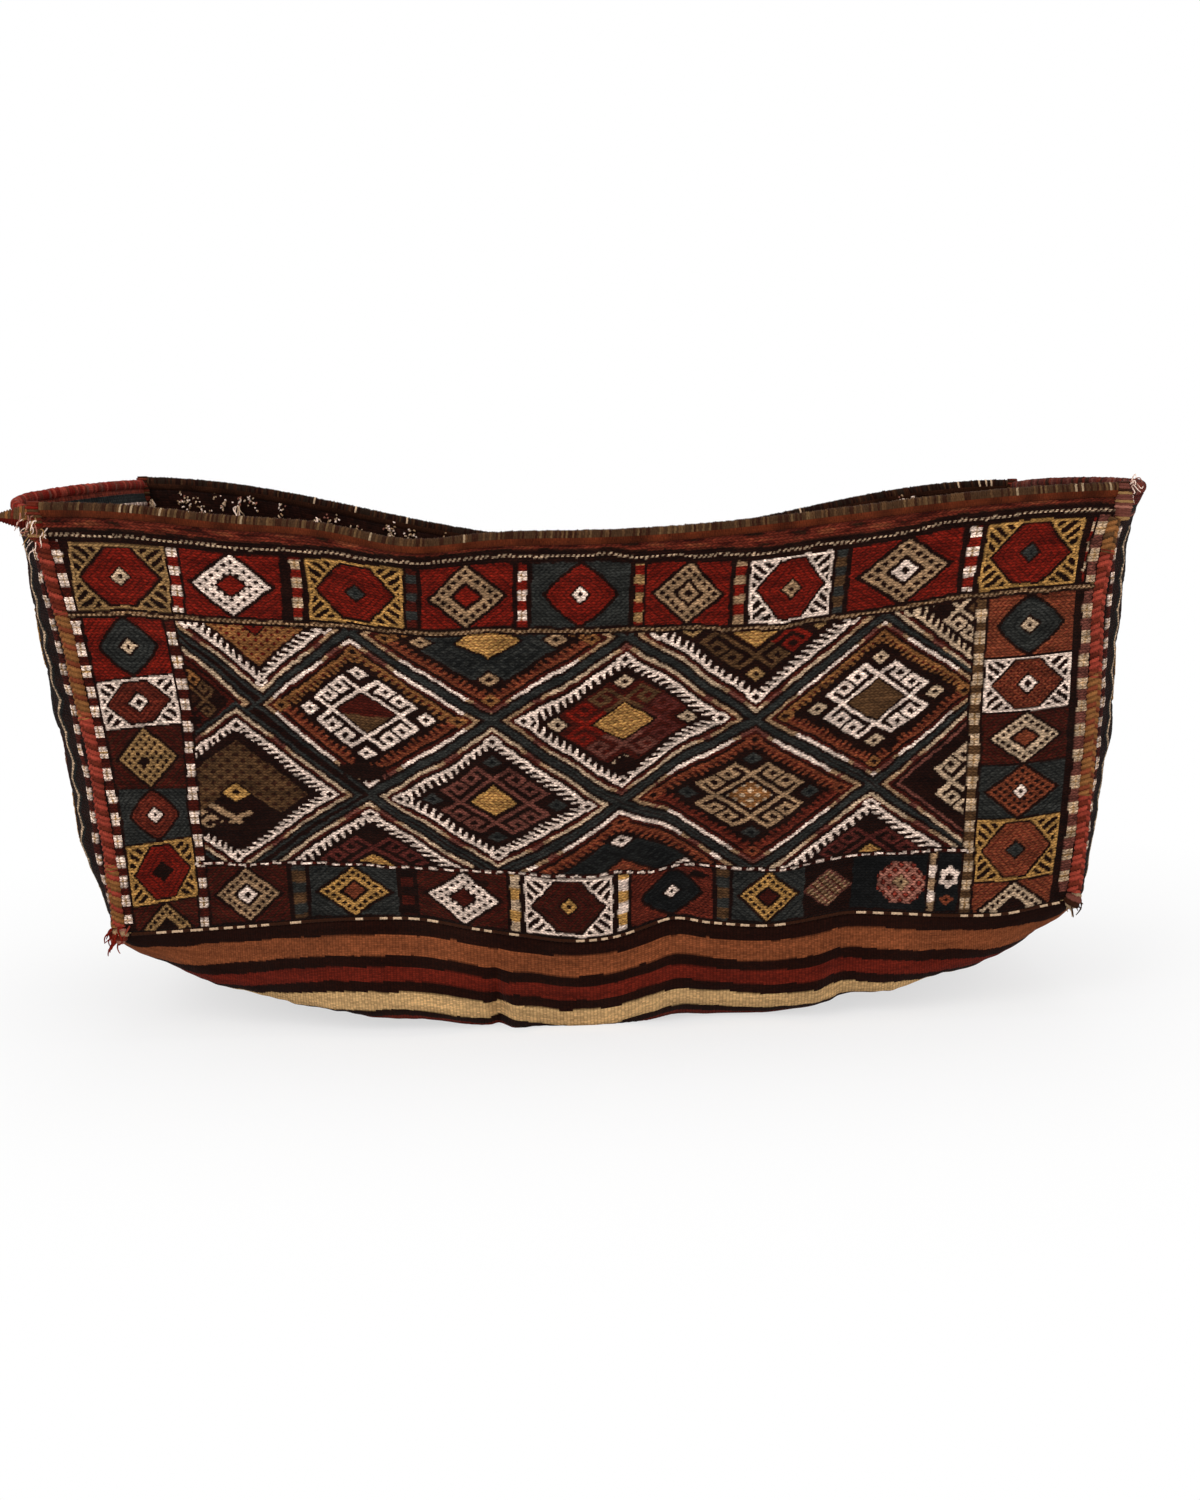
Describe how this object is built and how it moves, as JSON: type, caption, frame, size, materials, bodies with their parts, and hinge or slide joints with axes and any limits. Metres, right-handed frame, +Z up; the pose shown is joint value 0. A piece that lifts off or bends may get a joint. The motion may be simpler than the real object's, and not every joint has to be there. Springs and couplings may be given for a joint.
{
  "type": "mafrash bedding bag",
  "caption": "Open box shaped wool bedding bag: soumak woven sides with a lattice of diamonds, a sagging striped base, bound rims and braided corner seams.",
  "frame": {"origin": "on the floor under the middle of the bag, at the flat spot of its belly", "axes": "+X along the front to the right, +Y from the front to the back, +Z up out of the mouth"},
  "size_m": [1.1648, 0.4255, 0.567],
  "materials": {
    "soumak": "matte",
    "kilim": "matte",
    "goat_hair": "matte",
    "red_hem": "matte",
    "braid": "matte",
    "sewing": "matte",
    "whipping": "matte",
    "knot": "matte"
  },
  "bodies": {
    "root": {"front_panel": "soumak", "back_panel": "soumak", "left_end_panel": "soumak", "right_end_panel": "soumak", "base_panel": "kilim", "front_rim_binding": "goat_hair", "back_rim_binding": "goat_hair", "left_rim_binding": "red_hem", "right_rim_binding": "red_hem", "front_left_seam": "braid", "front_right_seam": "braid", "back_left_seam": "braid", "back_right_seam": "braid", "front_base_seam": "sewing", "back_base_seam": "sewing", "left_base_seam": "sewing", "right_base_seam": "sewing", "front_left_corner_whip": "whipping", "front_right_corner_whip": "whipping", "back_left_corner_whip": "whipping", "back_right_corner_whip": "whipping", "front_left_foot_knot": "knot", "front_right_foot_knot": "knot", "back_left_foot_knot": "knot", "back_right_foot_knot": "knot"}
  },
  "joints": []
}
